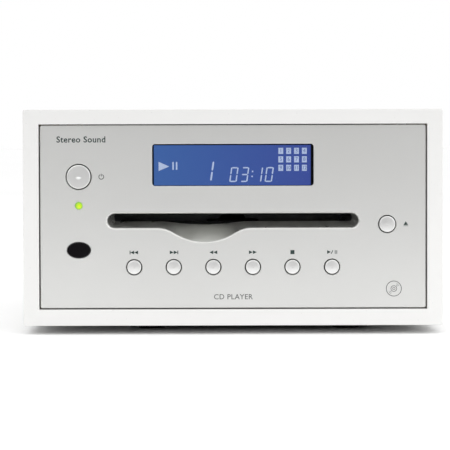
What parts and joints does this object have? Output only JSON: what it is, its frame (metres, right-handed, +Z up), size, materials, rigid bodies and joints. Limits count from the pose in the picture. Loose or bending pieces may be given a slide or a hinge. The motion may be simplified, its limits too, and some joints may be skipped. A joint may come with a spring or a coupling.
{
  "type": "compact disc player",
  "caption": "Compact table-top disc player with a mitred white cabinet, recessed silver panel, slot loading with a finger dip, blue display and round keys.",
  "frame": {"origin": "centre of the player's footprint, on the surface it stands on", "axes": "+Z up, the front panel faces -Y, +X to the right seen from the front"},
  "size_m": [0.2126, 0.204, 0.1143],
  "materials": {
    "white_lacquer": "white lacquer over board, satin",
    "raw_wood": "plain softwood",
    "black_base": "black paint, matt",
    "foot_rubber": "soft rubber, matt",
    "panel_aluminium": "fine blasted, clear anodised",
    "black_moulding": "moulded black plastic",
    "steel_screw": "zinc plated",
    "clear_window": "clear, polished",
    "mask_black": "black film",
    "lcd_blue": "blue display, lit from behind",
    "backlight_white": "milky light guide",
    "funnel_grey": "fine textured grey plastic",
    "felt_black": "short pile felt",
    "board_green": "green solder mask",
    "switch_black": "moulded",
    "lamp_green": "tinted, lit",
    "ir_black": "dark filter, polished",
    "silver_key": "silver painted plastic",
    "zinc_steel": "zinc coated sheet",
    "brass_pillar": "turned",
    "white_acetal": "natural acetal",
    "roller_rubber": "ground rubber",
    "bright_steel": "ground and polished",
    "motor_can": "drawn can, bright",
    "damper_rubber": "soft rubber",
    "turntable_black": "moulded with a rubber ring",
    "sled_metal": "die cast",
    "lens_holder": "coated lens in its holder",
    "capacitor_blue": "sleeved can",
    "coil_yellow": "taped winding",
    "ribbon_grey": "flat cable",
    "rear_black": "fine black powder coat",
    "inlet_black": "moulded",
    "jack_block_white": "moulded",
    "jack_nickel": "nickel plated"
  },
  "bodies": {
    "player": {"base_plinth": "black_base", "cabinet_bottom_board": "white_lacquer", "cabinet_left_board": "white_lacquer", "cabinet_right_board": "white_lacquer", "cabinet_top_board": "white_lacquer", "capacitors": "capacitor_blue", "case_screws": "steel_screw", "control_board": "board_green", "corner_cleats": "raw_wood", "disc_guide": "white_acetal", "display_mask": "mask_black", "display_window": "clear_window", "felt_strips": "felt_black", "foot_pads": "foot_rubber", "front_panel": "panel_aluminium", "front_subframe": "black_moulding", "ir_receiver": "switch_black", "ir_window": "ir_black", "jack_barrels": "jack_nickel", "jack_block": "jack_block_white", "lcd_backlight": "backlight_white", "lcd_glass": "lcd_blue", "loader_mounts": "black_moulding", "loading_motor": "motor_can", "main_board": "board_green", "power_inlet": "inlet_black", "power_transformer": "coil_yellow", "rear_panel": "rear_black", "ribbon_cable": "ribbon_grey", "rod_brackets": "black_moulding", "rubber_dampers": "damper_rubber", "slot_funnel": "funnel_grey", "status_led": "lamp_green", "steel_pins": "bright_steel", "support_pillars": "brass_pillar", "tact_switches": "switch_black", "transport_cover": "zinc_steel", "transport_tray": "zinc_steel", "traverse_motors": "motor_can", "traverse_plate": "zinc_steel"},
    "loading_roller": {"feed_roller": "roller_rubber", "roller_shaft": "bright_steel", "roller_gear": "white_acetal"},
    "reduction_wheel": {"reduction_gear": "white_acetal"},
    "motor_wheel": {"motor_pinion": "brass_pillar"},
    "disc_turntable": {"turntable": "turntable_black"},
    "pickup": {"pickup_sled": "sled_metal", "pickup_lens": "lens_holder"},
    "screw": {"lead_screw": "bright_steel"},
    "clamp": {"clamp_arm": "zinc_steel"},
    "puck": {"clamp_puck": "turntable_black"},
    "power_key": {"power_button": "silver_key"},
    "eject_key": {"eject_button": "silver_key"},
    "skip_back_key": {"skip_back_button": "silver_key"},
    "skip_forward_key": {"skip_forward_button": "silver_key"},
    "rewind_key": {"rewind_button": "silver_key"},
    "fast_forward_key": {"fast_forward_button": "silver_key"},
    "stop_key": {"stop_button": "silver_key"},
    "play_pause_key": {"play_pause_button": "silver_key"}
  },
  "joints": [
    {"name": "power_press", "type": "slide", "parent": "player", "child": "power_key", "axis": [0, 1, 0], "range_m": [0, 0.001], "stiffness_N_per_m": 600, "springref_m": -0.0006},
    {"name": "eject_press", "type": "slide", "parent": "player", "child": "eject_key", "axis": [0, 1, 0], "range_m": [0, 0.001], "stiffness_N_per_m": 600, "springref_m": -0.0006},
    {"name": "skip_back_press", "type": "slide", "parent": "player", "child": "skip_back_key", "axis": [0, 1, 0], "range_m": [0, 0.001], "stiffness_N_per_m": 600, "springref_m": -0.0006},
    {"name": "skip_forward_press", "type": "slide", "parent": "player", "child": "skip_forward_key", "axis": [0, 1, 0], "range_m": [0, 0.001], "stiffness_N_per_m": 600, "springref_m": -0.0006},
    {"name": "rewind_press", "type": "slide", "parent": "player", "child": "rewind_key", "axis": [0, 1, 0], "range_m": [0, 0.001], "stiffness_N_per_m": 600, "springref_m": -0.0006},
    {"name": "fast_forward_press", "type": "slide", "parent": "player", "child": "fast_forward_key", "axis": [0, 1, 0], "range_m": [0, 0.001], "stiffness_N_per_m": 600, "springref_m": -0.0006},
    {"name": "stop_press", "type": "slide", "parent": "player", "child": "stop_key", "axis": [0, 1, 0], "range_m": [0, 0.001], "stiffness_N_per_m": 600, "springref_m": -0.0006},
    {"name": "play_pause_press", "type": "slide", "parent": "player", "child": "play_pause_key", "axis": [0, 1, 0], "range_m": [0, 0.001], "stiffness_N_per_m": 600, "springref_m": -0.0006},
    {"name": "roller_spin", "type": "hinge", "parent": "player", "child": "loading_roller", "pos_m": [0, -0.0783, 0.0529], "axis": [1, 0, 0], "continuous": true},
    {"name": "reduction_spin", "type": "hinge", "parent": "player", "child": "reduction_wheel", "pos_m": [0.0692, -0.06702, 0.04879], "axis": [1, 0, 0], "continuous": true},
    {"name": "pinion_spin", "type": "hinge", "parent": "player", "child": "motor_wheel", "pos_m": [0.0692, -0.05222, 0.04341], "axis": [1, 0, 0], "continuous": true},
    {"name": "turntable_spin", "type": "hinge", "parent": "player", "child": "disc_turntable", "pos_m": [0, -0.0239, 0.0545], "axis": [0, 0, 1], "continuous": true},
    {"name": "sled_slide", "type": "slide", "parent": "player", "child": "pickup", "axis": [1, 0, 0], "range_m": [0, 0.033]},
    {"name": "screw_spin", "type": "hinge", "parent": "player", "child": "screw", "pos_m": [0.0126, 0.0021, 0.0443], "axis": [1, 0, 0], "continuous": true},
    {"name": "clamp_lower", "type": "hinge", "parent": "player", "child": "clamp", "pos_m": [0, 0.0407, 0.0626], "axis": [1, 0, 0], "range_deg": [0, 7]},
    {"name": "puck_spin", "type": "hinge", "parent": "clamp", "child": "puck", "pos_m": [0, -0.02342, 0.07047], "axis": [0, 0.1219, 0.9925], "continuous": true}
  ],
  "couplings": [
    {"joint": "reduction_spin", "follows": "roller_spin", "ratio": -1.6667},
    {"joint": "pinion_spin", "follows": "roller_spin", "ratio": 4.1667},
    {"joint": "screw_spin", "follows": "sled_slide", "rad_per_m": 2094.4},
    {"joint": "puck_spin", "follows": "turntable_spin", "ratio": 1}
  ]
}
